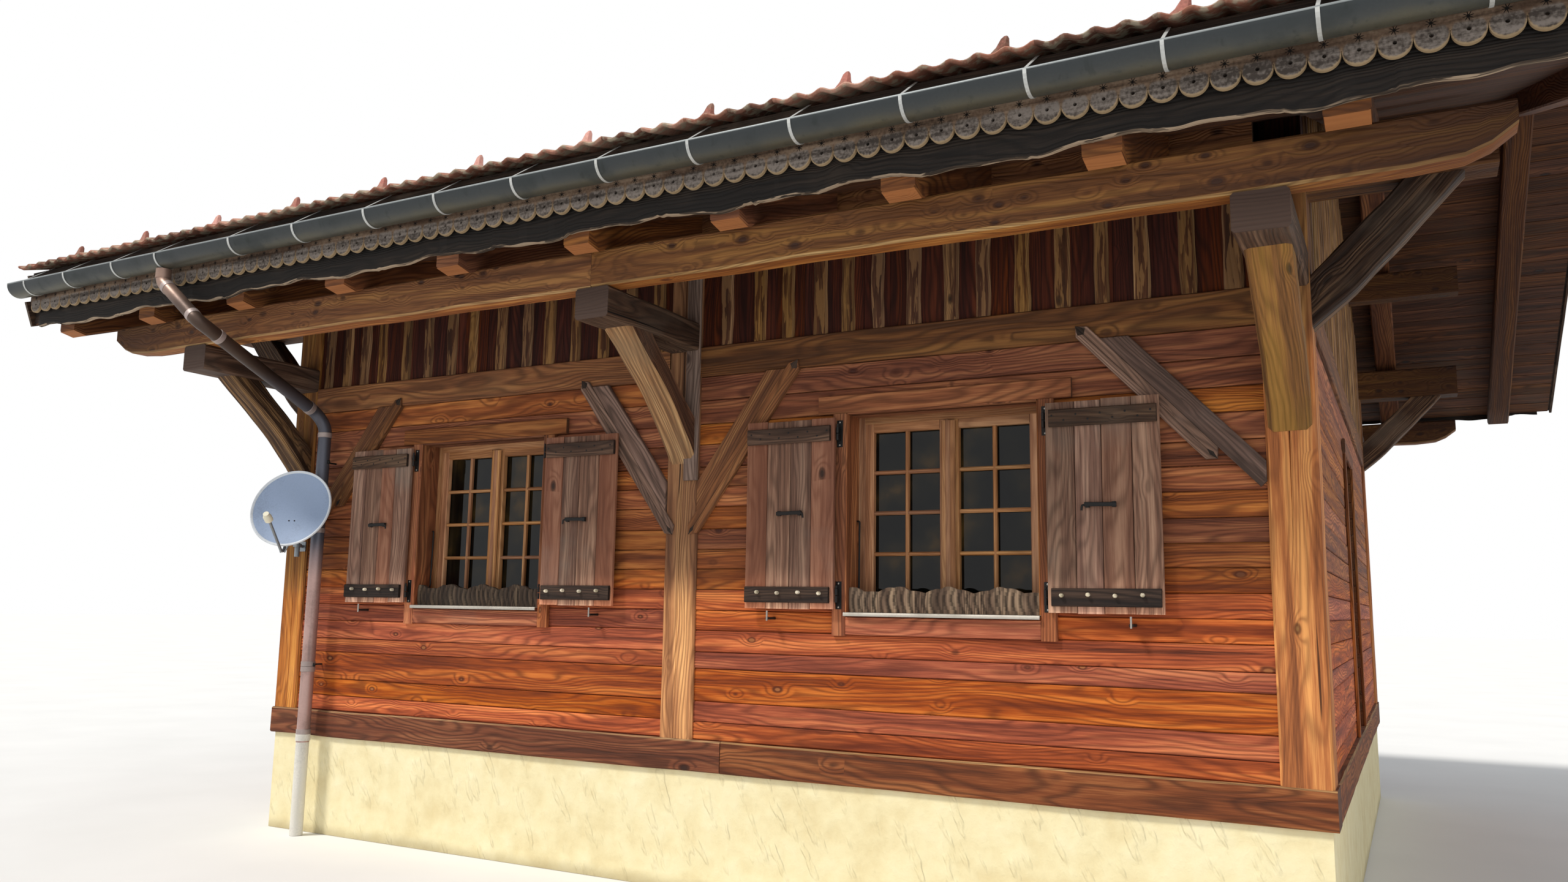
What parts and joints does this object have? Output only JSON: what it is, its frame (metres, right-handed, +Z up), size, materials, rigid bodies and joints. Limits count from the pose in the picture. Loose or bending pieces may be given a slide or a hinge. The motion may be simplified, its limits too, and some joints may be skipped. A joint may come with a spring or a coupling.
{
  "type": "alpine chalet",
  "caption": "Small timber-framed chalet on a rendered plinth, with hinged window shutters, bracketed eaves, a fretwork valance and a low tiled gable roof.",
  "frame": {"origin": "centre of the house on the ground under the plinth", "axes": "+X along the eaves wall to the right as seen from in front, +Y from the front wall into the house, +Z up"},
  "size_m": [11.41, 9.99, 6.3421],
  "materials": {
    "render": "rough-trowelled lime render",
    "floor_wood": "sawn boards",
    "dark_wood": "dark weathered timber",
    "honey_wood": "oiled timber",
    "wall_wood": "red-brown weathered boards",
    "red_wood": "red-brown timber",
    "grey_wood": "greyed timber",
    "orange_wood": "varnished timber",
    "shutter_wood": "weathered boards",
    "door_wood": "oiled planks",
    "roof_build_up": "boarded insulated layer",
    "tiles": "weathered clay",
    "zinc": "weathered zinc",
    "sill_metal": "weathered sheet",
    "iron": "black iron",
    "dish_paint": "matt powder coat",
    "glass": "clear"
  },
  "bodies": {
    "house": {"plinth": "render", "floor": "floor_wood", "sill_beams": "dark_wood", "corner_posts": "honey_wood", "mid_posts": "honey_wood", "front_left_wall": "wall_wood", "front_right_wall": "wall_wood", "back_left_wall": "wall_wood", "back_right_wall": "wall_wood", "left_gable_wall": "wall_wood", "right_gable_wall": "wall_wood", "wall_plates": "red_wood", "eaves_purlins": "red_wood", "roof_purlins": "red_wood", "bracket_beams": "grey_wood", "bracket_struts": "honey_wood", "plate_braces": "honey_wood", "wall_braces": "grey_wood", "front_rafters": "red_wood", "back_rafters": "red_wood", "front_roof_deck": "roof_build_up", "back_roof_deck": "roof_build_up", "front_tiles": "tiles", "back_tiles": "tiles", "ridge_tiles": "tiles", "eaves_boards": "dark_wood", "eaves_valances": "grey_wood", "barge_boards": "dark_wood", "gutters": "zinc", "downpipes": "zinc", "window_casings": "orange_wood", "window_frames": "orange_wood", "window_glass": "glass", "window_sills": "sill_metal", "sill_boards": "grey_wood", "fixed_shutters": "shutter_wood", "shutter_pintles": "iron", "satellite_dish": "dish_paint", "dish_bracket": "iron", "entrance_door": "door_wood", "door_frame": "orange_wood"},
    "left_window_left_shutter": {"left_window_left_shutter": "shutter_wood"},
    "left_window_right_shutter": {"left_window_right_shutter": "shutter_wood"},
    "right_window_left_shutter": {"right_window_left_shutter": "shutter_wood"},
    "right_window_right_shutter": {"right_window_right_shutter": "shutter_wood"}
  },
  "joints": [
    {"name": "left_window_left_hinge", "type": "hinge", "parent": "house", "child": "left_window_left_shutter", "pos_m": [-2.455, -3.569, 1.785], "axis": [0, 0, 1], "range_deg": [0, 180]},
    {"name": "left_window_right_hinge", "type": "hinge", "parent": "house", "child": "left_window_right_shutter", "pos_m": [-1.155, -3.569, 1.785], "axis": [0, 0, -1], "range_deg": [0, 180]},
    {"name": "right_window_left_hinge", "type": "hinge", "parent": "house", "child": "right_window_left_shutter", "pos_m": [1.185, -3.569, 1.785], "axis": [0, 0, 1], "range_deg": [0, 180]},
    {"name": "right_window_right_hinge", "type": "hinge", "parent": "house", "child": "right_window_right_shutter", "pos_m": [2.485, -3.569, 1.785], "axis": [0, 0, -1], "range_deg": [0, 180]}
  ]
}
